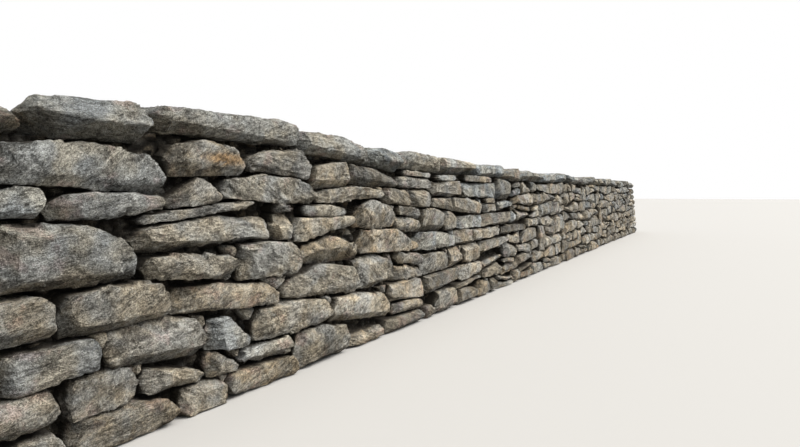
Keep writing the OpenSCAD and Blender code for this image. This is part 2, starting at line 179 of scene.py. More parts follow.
# The roughness of a stone, as patterns per metre and their height: its broad swell, its flakes, the
# layers along its foliation and how they wave, and fine flakes and grain up to a voxel. A shape is
# the smoothness of a pattern, how much finer each next layer of it is, and the number of layers
BROAD_SWELL = (4.5, 0.010)
BROAD_SHAPE = (1.0, 2.0, 2)
FLAKES = ((6.0, 0.026), (15.0, 0.009))
LAYERS = (30.0, 0.003)
LAYER_WAVES = (6.0, 1.8)
FINE_FLAKES = (34.0, 0.0035)
FINE_FLAKES_TO = 0.016
GRAIN = (40.0, 0.0012)
GRAIN_SHAPE = (0.8, 2.1, 2)
GRAIN_TO = 0.02
# How much a flake is dished, tilted and set off from its neighbours, and its lowest and highest place
FLAKE_DISH = 0.12
FLAKE_TILT = 0.9
FLAKE_STEP = 0.25
FLAKE_RANGE = (-0.5, 0.3)
# Each stone's own share of the swell, the flakes and the layers
OWN_SWELL = (0.4, 1.2)
OWN_FLAKES = (0.6, 1.2)
OWN_LAYERS = (0.2, 1.6)
# Over this depth the painted shade in the joints darkens a stone fully
JOINT_SHADE_DEPTH = 0.06

# Rust-coloured stains on the near stones: distance from the near end, height, length, rise and
# strength; a stain ends at three times its length or rise from its middle, which is squared here
STAINS = (
    (1.50, 1.352, 0.17, 0.034, 1.5), (0.40, 1.46, 0.09, 0.045, 0.9), (0.52, 0.76, 0.14, 0.05, 0.5),
)
STAIN_REACH = 9.0
# Near stones that stand out: distance of their middle from the near end, height, tone, where 0.5
# is usual, and warmth
MARKED = (
    (0.21, 1.45, 0.50, 0.3), (0.72, 1.50, 0.42, 0.2), (1.61, 1.55, 0.48, 0.3), (0.66, 1.28, 0.46, 0.15),
    (1.38, 1.35, 0.44, 0.7), (0.24, 1.14, 0.55, 0.0), (0.79, 1.10, 0.50, 0.2), (1.28, 1.16, 0.44, 0.3),
    (1.92, 1.18, 0.60, 0.2), (0.57, 0.89, 0.34, 0.15), (1.37, 0.95, 0.56, 0.4), (1.24, 0.76, 0.46, 0.4),
    (1.84, 0.75, 0.58, 0.3), (2.51, 0.76, 0.62, 0.9), (0.78, 0.63, 0.42, 0.6), (1.49, 0.57, 0.48, 0.9),
    (0.24, 0.70, 0.42, 0.6), (0.45, 0.43, 0.54, 0.2), (0.98, 0.42, 0.50, 0.4), (1.47, 0.37, 0.56, 0.1),
    (0.67, 0.26, 0.42, 0.7), (1.76, 0.20, 0.75, 0.2), (1.06, 0.23, 0.50, 0.6), (2.32, 0.16, 0.50, 0.5),
)
# Large breaks that near stones show: distance of their middle from the near end, height, the way
# the broken face looks and how deep it is cut
CUTS = (
    (0.72, 1.50, (0.0, -0.6, -0.8), 0.085), (0.72, 1.50, (-0.67, 0.37, 0.64), 0.17),
    (0.72, 1.50, (-0.62, -0.2, -0.75), 0.08), (0.21, 1.45, (0.1, -0.6, -0.75), 0.05),
    (1.61, 1.55, (-0.6, -0.45, -0.65), 0.1),
    (0.79, 1.10, (-0.62, -0.76, -0.2), 0.07), (1.37, 0.95, (-0.5, -0.8, -0.3), 0.05),
    (1.24, 0.76, (-0.5, -0.7, -0.5), 0.05), (1.24, 0.76, (0.05, -0.6, -0.8), 0.035),
    (0.78, 0.63, (-0.55, -0.7, -0.45), 0.07), (1.49, 0.57, (-0.6, -0.78, -0.15), 0.1),
    (0.57, 0.89, (0.55, -0.75, -0.35), 0.06), (0.66, 1.28, (0.15, -0.55, -0.82), 0.03),
)
# How near to a mark the middle of its stone lies, and how far back: none is on the back face
MARK_REACH = 0.12
MARKED_BEFORE = 0.1
# The usual tone of the stones up to this distance from the near end, and beyond it
NEAR_LENGTH = 2.2
NEAR_TONE = 0.5
FAR_TONE = 0.55
# How much tones and warmths are spread
TONE_SPREAD = 0.2
WARMTH_SPREAD = 0.3
# The usual warmth of the greys: the lower a course lies, the warmer it is
FOOT_WARMTH = 0.75
LOW_WARMTH = 0.85
WARMTH_STEP = 0.07
PIN_WARMTH = 0.6
END_WARMTH = 0.4
CAP_WARMTH = 0.25

# Seeds of the random draws of each node; each course adds its number, and the back face adds its own
FOOT_SEED = 11
LEFT_SEED = 15
RIGHT_SEED = 16
CAP_SEED = 17
COURSE_SEED = 20
PIN_SEED = 40
BACK_SEED = 50

# Every stone gets its own stretch of the patterns, somewhere in this range
PATTERN_RANGE = 20.0

FRONT = Vector((0.0, -1.0, 0.0))
BACK = Vector((0.0, 1.0, 0.0))
LEFT = Vector((-1.0, 0.0, 0.0))
RIGHT = Vector((1.0, 0.0, 0.0))
UP = Vector((0.0, 0.0, 1.0))

# Colours that stains and wear multiply into the stone's own
BLUISH = (0.93, 0.98, 1.04, 1.0)
OLIVE = (1.035, 1.0, 0.92, 1.0)
OCHRE = (0.99, 0.905, 0.79, 1.0)
COOL = (0.90, 0.97, 1.06, 1.0)
SLATE = (0.73, 0.745, 0.77, 1.0)
ROSY = (1.07, 0.96, 0.97, 1.0)
RUST = (1.27, 0.96, 0.66, 1.0)
PEPPER = (0.29, 0.28, 0.27, 1.0)
SALT = (1.98, 1.98, 2.0, 1.0)
# Colours of the dark seams, the lichen and the painted shade in the joints
SEAM = (0.04, 0.036, 0.03, 1.0)
LICHEN = (0.44, 0.44, 0.40, 1.0)
JOINT_SHADE = (0.022, 0.018, 0.013, 1.0)
# The gneiss of each kind of stone: name, dark and light grain, share of the lichen and of the painted
# shade in the joints
FACE_GNEISS = ("face_gneiss", (0.085, 0.077, 0.065, 1.0), (0.53, 0.498, 0.435, 1.0), 0.45, 0.95)
CAP_GNEISS = ("cap_gneiss", (0.075, 0.07, 0.06, 1.0), (0.46, 0.445, 0.40, 1.0), 0.6, 0.9)
FOOT_GNEISS = ("footing_gneiss", (0.075, 0.067, 0.055, 1.0), (0.46, 0.43, 0.37, 1.0), 0.3, 0.95)
# The packing gets much darker greys than the faces: painted shade for the hollows behind the open
# joints
PACKED_GNEISS_SHADED = ("packed_gneiss_painted_shade", (0.03, 0.026, 0.02, 1.0), (0.17, 0.15, 0.12, 1.0), 0.2, 0.95)
# Patterns along the foliation: patches a metre along it and across it, detail, roughness and, where
# there is any, distortion
BEDDING = (6.0, 30.0, 7.0, 0.7, 0.8)
STREAKS = (28.0, 100.0, 5.0, 0.78, 0.6)
BLOTCHES = (28.0, 50.0, 5.0, 0.76, 0.5)
SPECKLE = (95.0, 140.0, 3.0, 1.0)
PEPPER_GRAINS = (150.0, 200.0, 3.0, 1.0)
SALT_GRAINS = (175.0, 230.0, 3.0, 1.0)
# Patterns that are the same all ways: patches a metre, detail, roughness and, where there is any,
# distortion
CLOUDS = (7.0, 6.0, 0.66)
SLATE_PATCHES = (3.4, 4.0, 0.6)
DRIFT = (4.2, 3.0, 0.5)
ROSY_PATCHES = (6.5, 4.0, 0.6)
STAIN_PATCHES = (5.5, 5.0, 0.65)
LICHEN_PATCHES = (16.0, 7.0, 0.74, 0.7)
ROUGH_RELIEF = (20.0, 8.0, 0.74)
FINE_RELIEF = (110.0, 4.0, 0.8)
# Between these values of its pattern a colour comes in; the cold grey comes in as warmth falls
SHADE_STEP = (0.435, 0.56)
SLATE_STEP = (0.52, 0.62)
DRIFT_STEP = (0.42, 0.58)
ROSY_STEP = (0.56, 0.66)
STAIN_STEP = (0.42, 0.58)
COLD_STEP = (0.35, 0.0)
RUST_STEP = (1.2, 1.9)
LICHEN_STEP = (0.57, 0.62)
PEPPER_STEP = (0.52, 0.56)
SALT_STEP = (0.53, 0.57)
# The dark seams: where in the bedding they run, how wide they are, where they break off in the
# blotches, and how strong they are
SEAM_PLACE = 0.47
SEAM_WIDTH = 0.02
SEAM_STEP = (0.42, 0.56)
SEAM_STRENGTH = 0.6
# How deep the bumps of the relief are, how dull the stone is, and its tone as a share of its own
# tone plus a part that all stones have
RELIEF_DEPTH = 0.03
DULLNESS = 0.9
GLOSS = 0.25
OWN_TONE = 0.9
COMMON_TONE = 0.565

# The floor as it throws back light and as it is seen, the sky as it lights the wall, the white that
# is seen in its place, and the lamps: name, strength, spread in degrees and direction
FLOOR_LIT = (0.17, 0.165, 0.155, 1.0)
FLOOR_SEEN = (0.50, 0.49, 0.475, 1.0)
FLOOR_SIZE = 120.0
SKY = (0.90, 0.95, 1.0, 1.0)
SKY_STRENGTH = 0.42
WHITE = (1.0, 1.0, 1.0, 1.0)
LAMP_COLOUR = (1.0, 0.97, 0.92)
LAMPS = (
    ("high_light", 1.5, 90.0, (0.0, 0.3, -1.0)),
    ("front_light", 3.4, 34.0, (-0.5, 0.54, -0.8)),
)

near_end_x, face_foot_y, _ = Vector(cad_box[0])
courses = sorted(int(n.split("_")[-1]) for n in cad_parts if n.startswith("front_course_"))


# Objects and the camera


def placed(name, data):
    """Adds an object with this data to the scene."""
    made = bpy.data.objects.new(name, data)
    bpy.context.collection.objects.link(made)
    return made


def mesh_of(body, name):
    """Writes a bmesh to a new mesh and frees it."""
    mesh = bpy.data.meshes.new(name)
    body.to_mesh(mesh)
    body.free()
    return mesh


def place_camera():
    """Sets the camera where the photograph was taken from."""
    camera = placed("camera", bpy.data.cameras.new("camera"))
    camera.data.lens = LENS_MM
    camera.data.sensor_width = SENSOR_MM
    camera.data.clip_end = SEEN_TO
    camera.location = (near_end_x - EYE_BEFORE_END, face_foot_y - EYE_BEFORE_FACE, EYE_HEIGHT)
    turn = math.radians(TURN_FROM_WALL)
    pitch = math.radians(PITCH_DOWN)
    level = Vector((math.cos(turn), math.sin(turn), 0.0))
    ahead = level * math.cos(pitch) - UP * math.sin(pitch)
    camera.rotation_euler = ahead.to_track_quat("-Z", "Y").to_euler()
    bpy.context.scene.camera = camera


# Materials


def add(tree, kind, inputs=(), **settings):
    """Adds a shader node; inputs maps socket names or numbers to a value or to another socket."""
    made = tree.nodes.new(kind)
    for name, value in settings.items():
        setattr(made, name, value)
    for key, value in dict(inputs).items():
        if isinstance(value, bpy.types.NodeSocket):
            tree.links.new(value, made.inputs[key])
        else:
            made.inputs[key].default_value = value
    return made


def maths(tree, operation, *values, clamp=False):
    """Calculates with numbers or sockets."""
    made = add(tree, "ShaderNodeMath", dict(enumerate(values)), operation=operation, use_clamp=clamp)
    return made.outputs[0]


def blend(tree, factor, first, second, mode="MIX"):
    """Mixes two colours, which are inputs 6 and 7 of the node, with the mixed one as output 2."""
    inputs = {"Factor": factor, 6: first, 7: second}
    return add(tree, "ShaderNodeMix", inputs, data_type="RGBA", blend_type=mode).outputs[2]


def stepped(tree, value, low, high):
    """Runs smoothly from 0 at low to 1 at high."""
    inputs = {"Value": value, "From Min": low, "From Max": high}
    return add(tree, "ShaderNodeMapRange", inputs, interpolation_type="SMOOTHSTEP").outputs[0]


def mottle(tree, place, scale, detail, roughness, distortion=0.0):
    """Irregular patches, scale of them a metre, from 0 to 1."""
    inputs = {
        "Vector": place,
        "Scale": scale,
        "Detail": detail,
        "Roughness": roughness,
        "Distortion": distortion,
    }
    return add(tree, "ShaderNodeTexNoise", inputs).outputs["Fac"]


def foliated(tree, grain, along, across, detail, roughness, distortion=0.0):
    """Patches drawn out along the foliation: so many a metre along it and across it."""
    place = add(tree, "ShaderNodeMapping", {"Vector": grain, "Scale": (along, along, across)})
    return mottle(tree, place.outputs[0], 1.0, detail, roughness, distortion)


def tinted(tree, colour, mask, tint):
    """Multiplies a colour by a tint where the mask is 1."""
    return blend(tree, mask, colour, tint, "MULTIPLY")


def weighed(tree, parts):
    """Adds up patterns, each with its weight."""
    total = 0.0
    for pattern, weight in parts:
        total = maths(tree, "MULTIPLY_ADD", pattern, weight, total)
    return total


def gneiss_patterns(tree, grain):
    """The patterns that a stone's colour and its relief share."""
    bedding = foliated(tree, grain, *BEDDING)
    streaks = foliated(tree, grain, *STREAKS)
    clouds = mottle(tree, grain, *CLOUDS)
    blotches = foliated(tree, grain, *BLOTCHES)
    return bedding, streaks, clouds, blotches


def mineral_colour(tree, grain, patterns, dark, light):
    """Grey from dark to light, with slate, bluish, olive and rosy stretches."""
    bedding, streaks, clouds, blotches = patterns
    speckle = foliated(tree, grain, *SPECKLE)
    shade = weighed(
        tree, ((bedding, 0.20), (clouds, 0.20), (blotches, 0.24), (streaks, 0.12), (speckle, 0.24))
    )
    colour = blend(tree, stepped(tree, shade, *SHADE_STEP), dark, light)
    slate = stepped(tree, mottle(tree, grain, *SLATE_PATCHES), *SLATE_STEP)
    colour = tinted(tree, colour, slate, SLATE)
    drift = stepped(tree, mottle(tree, grain, *DRIFT), *DRIFT_STEP)
    colour = tinted(tree, colour, 1.0, blend(tree, drift, BLUISH, OLIVE))
    rosy = stepped(tree, mottle(tree, grain, *ROSY_PATCHES), *ROSY_STEP)
    return tinted(tree, colour, rosy, ROSY)


def stained_colour(tree, grain, patterns, warmth, colour):
    """Ochre and rust on warm stones, a colder grey on cold ones, dark seams along the foliation."""
    bedding, _, clouds, blotches = patterns
    stain = stepped(tree, mottle(tree, grain, *STAIN_PATCHES), *STAIN_STEP)
    colour = tinted(tree, colour, maths(tree, "MULTIPLY", stain, warmth, clamp=True), OCHRE)
    colour = tinted(tree, colour, stepped(tree, warmth, *COLD_STEP), COOL)
    rusty = weighed(tree, ((warmth, 0.6), (blotches, 0.8), (clouds, 0.6)))
    colour = tinted(tree, colour, stepped(tree, rusty, *RUST_STEP), RUST)
    seams = maths(tree, "ABSOLUTE", maths(tree, "SUBTRACT", bedding, SEAM_PLACE))
    seams = maths(tree, "SUBTRACT", 1.0, stepped(tree, seams, 0.0, SEAM_WIDTH))
    seams = maths(tree, "MULTIPLY", seams, stepped(tree, blotches, *SEAM_STEP))
    return blend(tree, maths(tree, "MULTIPLY", seams, SEAM_STRENGTH), colour, SEAM)


def crusted_colour(tree, grain, lichen, colour):
    """Pale lichen, and over all of it the salt and pepper of the grain."""
    patches = stepped(tree, mottle(tree, grain, *LICHEN_PATCHES), *LICHEN_STEP)
    colour = blend(tree, maths(tree, "MULTIPLY", patches, lichen), colour, LICHEN)
    peppered = stepped(tree, foliated(tree, grain, *PEPPER_GRAINS), *PEPPER_STEP)
    colour = tinted(tree, colour, peppered, PEPPER)
    salted = stepped(tree, foliated(tree, grain, *SALT_GRAINS), *SALT_STEP)
    return tinted(tree, colour, salted, SALT)


def stone_relief(tree, grain, patterns):
    """The finest roughness, which is left to bump."""
    bedding, streaks, _, _ = patterns
    rough = mottle(tree, grain, *ROUGH_RELIEF)
    fine = mottle(tree, grain, *FINE_RELIEF)
    height = weighed(tree, ((rough, 0.52), (bedding, 0.32), (streaks, 0.22), (fine, 0.2)))
    inputs = {"Height": height, "Strength": 1.0, "Distance": RELIEF_DEPTH}
    return add(tree, "ShaderNodeBump", inputs).outputs[0]


def stone_material(name, dark, light, lichen, joint_shade):
    """Gneiss of one shade, with its share of lichen and of painted shade in the joints."""
    material = bpy.data.materials.new(name)
    material.use_nodes = True
    tree = material.node_tree
    tree.nodes.clear()
    grain = add(tree, "ShaderNodeAttribute", attribute_name="grain").outputs["Vector"]
    kinds = add(tree, "ShaderNodeAttribute", attribute_name="kind")
    # The kind holds a stone's tone, its warmth and its painted shade in the joints
    tone, warmth, recess_shade = add(tree, "ShaderNodeSeparateColor", {0: kinds.outputs["Color"]}).outputs

    patterns = gneiss_patterns(tree, grain)
    colour = mineral_colour(tree, grain, patterns, dark, light)
    colour = stained_colour(tree, grain, patterns, warmth, colour)
    colour = crusted_colour(tree, grain, lichen, colour)
    own_tone = weighed(tree, ((tone, OWN_TONE), (1.0, COMMON_TONE)))
    toned = add(tree, "ShaderNodeVectorMath", {0: colour, "Scale": own_tone}, operation="SCALE")
    # Painted shade: the colour goes to near black deep in the joints and on sides turned away from the
    # face, where neighbours would shade them
    colour = blend(tree, maths(tree, "MULTIPLY", recess_shade, joint_shade), toned.outputs[0], JOINT_SHADE)

    relief = stone_relief(tree, grain, patterns)
    surface = {
        "Base Color": colour,
        "Roughness": DULLNESS,
        "Normal": relief,
        "Specular IOR Level": GLOSS,
    }
    shader = add(tree, "ShaderNodeBsdfPrincipled", surface)
    add(tree, "ShaderNodeOutputMaterial", {"Surface": shader.outputs[0]})
    return material


# Stones


def linked(first):
    """All the vertices of one stone, found along its edges."""
    group = {first: None}
    waiting = [first]
    while waiting:
        vert = waiting.pop()
        for edge in vert.link_edges:
            other = edge.other_vert(vert)
            if other not in group:
                group[other] = None
                waiting.append(other)
    return list(group)


def cad_body(node):
    """A CAD node as a bmesh whose flat sides are whole faces."""
    body = bmesh.new()
    body.from_mesh(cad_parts[node].data)
    bmesh.ops.remove_doubles(body, verts=body.verts, dist=WELD)
    flat = math.radians(FLAT_ANGLE)
    bmesh.ops.dissolve_limit(body, angle_limit=flat, verts=body.verts, edges=body.edges)
    return body


def separate_stones(node):
    """Gives each stone of a CAD node as a bmesh of its own."""
    whole = cad_body(node)
    stones = []
    seen = set()
    for first in whole.verts:
        if first in seen:
            continue
        group = linked(first)
        seen.update(group)
        stone = bmesh.new()
        twins = {vert: stone.verts.new(vert.co) for vert in group}
        faces = dict.fromkeys(face for vert in group for face in vert.link_faces)
        for face in faces:
            stone.faces.new([twins[vert] for vert in face.verts])
        stones.append(stone)
    whole.free()
    return stones


def stone_box(stone):
    """The lowest and the highest corner of a stone's box."""
    low = Vector(min(v.co[i] for v in stone.verts) for i in range(3))
    high = Vector(max(v.co[i] for v in stone.verts) for i in range(3))
    return low, high


def cut_off(stone, normal, depth):
    """Breaks off what lies further out along normal than depth below the stone's outermost point."""
    normal = normal.normalized()
    reach = max(v.co.dot(normal) for v in stone.verts) - depth
    geometry = stone.verts[:] + stone.edges[:] + stone.faces[:]
    cut = bmesh.ops.bisect_plane(
        stone, geom=geometry, plane_co=normal * reach, plane_no=normal, clear_outer=True, dist=WELD
    )
    rim = [g for g in cut["geom_cut"] if isinstance(g, bmesh.types.BMEdge)]
    if rim:
        bmesh.ops.holes_fill(stone, edges=rim)


def chip_rim(stone, out, way, along, deep):
    """Chips the rim between the shown side and the one facing way, this far along it and this deep."""
    normal = way.normalized() * deep + out * along
    cut_off(stone, normal, deep * along / math.hypot(deep, along))


def edge_slope(stone, out, side):
    """How steeply the upper (side 1) or lower (side -1) edge of the shown side rises across it."""
    across = out.cross(UP)
    reach = max(v.co.dot(out) for v in stone.verts)
    shown = [v.co for v in stone.verts if reach - v.co.dot(out) < EDGE_DEPTH]
    places = [place.dot(across) for place in shown]
    middle = (min(places) + max(places)) / 2
    first = max((p for p in shown if p.dot(across) <= middle), key=lambda p: side * p.z)
    last = max((p for p in shown if p.dot(across) >= middle), key=lambda p: side * p.z)
    run = last.dot(across) - first.dot(across)
    if run < EDGE_RUN * (max(places) - min(places)):
        return 0.0
    return min(STEEPEST_EDGE, max(-STEEPEST_EDGE, (last.z - first.z) / run))


def lean_break(stone, out, rng, height, lean, share, deepest):
    """Breaks off the upper part of the shown side leaning back, or its lower part leaning forward."""
    tilt = math.radians(lean)
    across = out.cross(UP)
    along_edge = UP - across * edge_slope(stone, out, math.copysign(1.0, lean))
    normal = out + across * rng.uniform(-BREAK_SKEW, BREAK_SKEW) + along_edge * math.tan(tilt)
    rise = min(height * share, deepest / abs(math.tan(tilt)))
    cut_off(stone, normal, rise * abs(math.sin(tilt)))


def break_face(stone, out, rng, breaks, deepest, corners):
    """Gives the shown side a few broad, slightly turned breaks and chips off its rims."""
    low, high = stone_box(stone)
    size = high - low
    height = size.z
    length = size.x if abs(out.x) < 0.5 else size.y
    across = out.cross(UP)
    full = min(1.0, min(height, length) / WHOLE_CHIP_HEIGHT)
    for _ in range(rng.randint(*YAW_BREAKS)):
        yaw = math.radians(rng.choice((-1.0, 1.0)) * rng.uniform(*YAW_TURN))
        normal = out + across * math.tan(yaw) + UP * rng.uniform(*YAW_LEAN)
        depth = length * abs(math.sin(yaw)) * rng.uniform(*YAW_SHARE)
        cut_off(stone, normal, min(YAW_DEEPEST, depth))
    for leans, shares, chance in breaks:
        if rng.random() < chance:
            lean_break(stone, out, rng, height, rng.uniform(*leans), rng.uniform(*shares), deepest)
    for rise, (along, deep) in ((1.0, UPPER_CHIP), (-1.0, LOWER_CHIP)):
        way = UP * rise + across * rng.uniform(-CHIP_SKEW, CHIP_SKEW)
        chip_rim(stone, out, way, full * rng.uniform(*along), full * rng.uniform(*deep))
    if rng.random() < FACET_SHARE:
        way = across + UP * rng.uniform(-FACET_LEAN, FACET_LEAN)
        along = min(length * FACET_OF_LENGTH, rng.uniform(*FACET_ALONG))
        chip_rim(stone, out, way, along, full * rng.uniform(*FACET_DEEP))
    for side in (across, -across):
        way = side + UP * rng.uniform(*SIDE_CHIP_LEAN)
        along, deep = SIDE_CHIP
        chip_rim(stone, out, way, full * rng.uniform(*along), full * rng.uniform(*deep))
        for rise in (-1.0, 1.0):
            corner = side + UP * rise * rng.uniform(*CORNER_LEAN) + out * rng.uniform(*CORNER_OUT)
            if corners > 1.0 or rng.random() < CORNER_SHARE:
                cut_off(stone, corner, corners * full * rng.uniform(*CORNER_CHIP))


def break_crown(stone, rng):
    """Gives the upper side of a stone that shows its top a few broad breaks."""
    for _ in range(CROWN_BREAKS):
        across = FRONT * rng.uniform(-CROWN_LEAN_ACROSS, CROWN_LEAN_ACROSS)
        along = LEFT * rng.uniform(-CROWN_LEAN_ALONG, CROWN_LEAN_ALONG)
        cut_off(stone, UP + across + along, rng.uniform(*CROWN_DEPTH))


def break_stone(stone, outs, rng, crowned, corners):
    """Breaks and chips the shown sides of a stone, and then its top or its sharp upright corners."""
    breaks, deepest = (CAP_BREAKS, CAP_BREAK_DEPTH) if crowned else (FACE_BREAKS, FACE_BREAK_DEPTH)
    for out in outs:
        break_face(stone, out, rng, breaks, deepest, corners)
    if crowned:
        break_crown(stone, rng)
        return
    for other in outs[1:]:
        cut_off(stone, outs[0] + other, BLUNT_CORNER)


def squeeze(stone, out, factor):
    """Squeezes the part behind the shown depth, or with a factor under 1 draws it out again."""
    reach = max(v.co.dot(out) for v in stone.verts)
    for vert in stone.verts:
        hidden = reach - vert.co.dot(out) - SHOWN_DEPTH
        if hidden > 0.0:
            vert.co += out * (hidden - hidden / factor)


def even_mesh(stone, voxel):
    """Remeshes a stone into even small faces and gives it back as a new bmesh."""
    low, high = stone_box(stone)
    mesh = mesh_of(stone, "stone")
    body = placed("stone", mesh)
    remesh = body.modifiers.new("remesh", "REMESH")
    if voxel < CRISP_VOXEL:
        remesh.mode = "VOXEL"
        remesh.voxel_size = voxel
    else:
        cells = max(high - low) / voxel
        remesh.mode = "SHARP"
        remesh.octree_depth = math.ceil(math.log2(cells / CRISP_SHARE))
        remesh.scale = cells / 2.0 ** remesh.octree_depth
        remesh.use_remove_disconnected = False
    evaluated = body.evaluated_get(bpy.context.evaluated_depsgraph_get())
    even = bmesh.new()
    even.from_mesh(evaluated.to_mesh())
    evaluated.to_mesh_clear()
    bpy.data.objects.remove(body)
    bpy.data.meshes.remove(mesh)
    return even


def flaked(place):
    """Height of a surface broken into shallow shells with sharp rims between them."""
    distances, centres = noise.voronoi(place, distance_metric="DISTANCE_SQUARED")
    heights = []
    for distance, centre in zip(distances, centres):
        own = noise.cell_vector(centre) * 2.0 - Vector((1.0, 1.0, 1.0))
        dished = FLAKE_DISH * distance + FLAKE_TILT * own.dot(place - centre)
        heights.append(dished + FLAKE_STEP * own.x)
    return max(FLAKE_RANGE[0], min(FLAKE_RANGE[1], *heights))


def roughness_at(place, own, voxel):
    """How far the surface of a stone stands out at a place, from its broad swell to its fine grain."""
    own_swell, own_flakes, own_layers = own
    scale, depth = BROAD_SWELL
    height = depth * own_swell * noise.fractal(place * scale, *BROAD_SHAPE)
    for scale, depth in FLAKES:
        height += depth * own_flakes * flaked(place * scale)
    scale, depth = LAYERS
    wave_scale, wave = LAYER_WAVES
    bed = place.z * scale + wave * noise.noise(place * wave_scale)
    height += depth * own_layers * (abs((bed % 1.0) - 0.5) * 2.0 - 0.5)
    if voxel < FINE_FLAKES_TO:
        scale, depth = FINE_FLAKES
        height += depth * own_flakes * flaked(place * scale)
    if voxel < GRAIN_TO:
        scale, depth = GRAIN
        height += depth * noise.fractal(place * scale, *GRAIN_SHAPE)
    return height


def stained(place):
    """How strongly rust colours a place on the near stones of the front."""
    strength = 0.0
    for along, height, length, rise, most in STAINS:
        x = (place.x - near_end_x - along) / length
        z = (place.z - height) / rise
        if place.y < 0.0 and x * x + z * z < STAIN_REACH:
            strength += most * math.exp(-x * x - z * z)
    return strength


def weather(stone, outs, rng, voxel, kind):
    """Roughens a stone's surface and writes its grain coordinates and kind to its vertices."""
    stone.normal_update()
    sunk = len(outs) == 1
    rim = NEAR_RIM if voxel < CRISP_VOXEL else FAR_RIM
    reach = max(v.co.dot(outs[0]) for v in stone.verts)
    middle = sum((v.co for v in stone.verts), Vector()) / len(stone.verts)
    turn = Matrix.Rotation(math.radians(rng.uniform(-FOLIATION_TURN, FOLIATION_TURN)), 3, "Y")
    roll = math.radians(rng.uniform(-FOLIATION_ROLL, FOLIATION_ROLL))
    turn = turn @ Matrix.Rotation(roll, 3, "X")
    offset = Vector(rng.uniform(0.0, PATTERN_RANGE) for _ in range(3))
    heights = [v.co.z for v in stone.verts]
    thickness = min(1.0, (max(heights) - min(heights)) / WHOLE_CHIP_HEIGHT)
    own = (rng.uniform(*OWN_SWELL), rng.uniform(*OWN_FLAKES) * thickness, rng.uniform(*OWN_LAYERS))
    grain = stone.verts.layers.float_vector["grain"]
    kinds = stone.verts.layers.float_color["kind"]
    tone, warmth = kind
    moves = []
    for vert in stone.verts:
        place = turn @ (vert.co - middle) + offset
        depth = reach - vert.co.dot(outs[0]) if sunk else 0.0
        height = roughness_at(place, own, voxel) + SWELL if depth < ROUGH_DEPTH else 0.0
        sideways = 1.0 - max(0.0, vert.normal.dot(outs[0]))
        # Painted shade: darker the deeper a side lies behind the face and the more it turns away from
        # it
        recess_shade = min(1.0, max(0.0, (depth - rim) / JOINT_SHADE_DEPTH)) * sideways
        moves.append(vert.normal * height)
        vert[grain] = place
        vert[kinds] = (tone, warmth + stained(vert.co), recess_shade, 1.0)
    for vert, move in zip(stone.verts, moves):
        vert.co += move


def fit(stone, low, high, axes, out, shown, joint):
    """Draws a stone's shown part out again until it fills its place less half a joint at each side."""
    reach = max(v.co.dot(out) for v in stone.verts)
    for axis in axes:
        places = [v.co[axis] for v in stone.verts if reach - v.co.dot(out) < shown]
        now_low = min(places)
        now_high = max(places)
        factor = (high[axis] - low[axis] - joint) / (now_high - now_low)
        factor = min(FIT_RANGE[1], max(FIT_RANGE[0], factor))
        middle = (low[axis] + high[axis]) / 2
        now_middle = (now_low + now_high) / 2
        for vert in stone.verts:
            vert.co[axis] = middle + (vert.co[axis] - now_middle) * factor


def drop_hidden_end(stone, out):
    """Closes the end that touches the hearting with one face."""
    back = min(v.co.dot(out) for v in stone.verts)
    hidden = [v for v in stone.verts if v.co.dot(out) < back + HIDDEN_END]
    bmesh.ops.delete(stone, geom=hidden, context="VERTS")
    rim = [e for e in stone.edges if e.is_boundary]
    if rim:
        bmesh.ops.holes_fill(stone, edges=rim)


def voxel_for(x, voxels):
    """How finely the wall is meshed at this place along it."""
    along = x - near_end_x
    return next(voxel for distance, voxel in voxels if along < distance)


def finish_stone(whole, stone):
    """Adds a finished stone to the mesh of its course."""
    mesh = mesh_of(stone, "stone")
    whole.from_mesh(mesh)
    bpy.data.meshes.remove(mesh)


def new_layers(stone):
    """Makes room on the vertices for the grain coordinates and the kind."""
    stone.verts.layers.float_vector.new("grain")
    stone.verts.layers.float_color.new("kind")


def show(mesh, node, material):
    """Shows a mesh as one piece in the place of a CAD node."""
    mesh.materials.append(material)
    piece = placed(mesh.name, mesh)
    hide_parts(node)
    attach(piece, "root")


def cut_across(body, normal, places):
    """Cuts a body into slices without taking anything away."""
    for place in places:
        geometry = body.verts[:] + body.edges[:] + body.faces[:]
        plane = {"plane_co": normal * place, "plane_no": normal}
        bmesh.ops.bisect_plane(body, geom=geometry, dist=WELD, **plane)


def packing_columns(low, high):
    """Places along the wall where the packing is cut, ever further apart."""
    places = []
    x = low
    while x < high:
        x += voxel_for(x, PACKING_COLUMNS)
        places.append(x)
    return places


def packed_place(vert):
    """Where a point of the packing goes, its pattern coordinates and its kind."""
    side = 1.0 if vert.co.y > 0.0 else -1.0
    share = vert.co.z / UNDER_CAPS
    half = FOOT_HALF + (TOP_HALF - FOOT_HALF) * share - PACKING_DEPTH
    place = Vector((vert.co.x, side * PACKING_SIDES, vert.co.z * PACKING_FLATNESS)) / PACKING_STONE
    distances, centres = noise.voronoi(place)
    own = noise.cell_vector(centres[0])
    between = min(1.0, (distances[1] - distances[0]) / PACKING_JOINT)
    height = PACKING_STEP * (own.x - 0.5)
    height += PACKING_ROUND * between * (1.0 - 0.5 * distances[0])
    height += PACKING_TILT * (own - Vector((0.5, 0.5, 0.5))).dot(place - centres[0])
    grain = vert.co + own * PATTERN_RANGE
    lift = PACKING_LIFT * share if vert.co.z > UNDER_CAPS * PACKING_LIFT_FROM else 0.0
    moved = Vector((vert.co.x, side * (half + height), vert.co.z + lift))
    # The third value of the kind is painted shade, darkest in the gaps between the small stones
    return moved, grain, (own.y, own.z, 1.0 - between, 1.0)


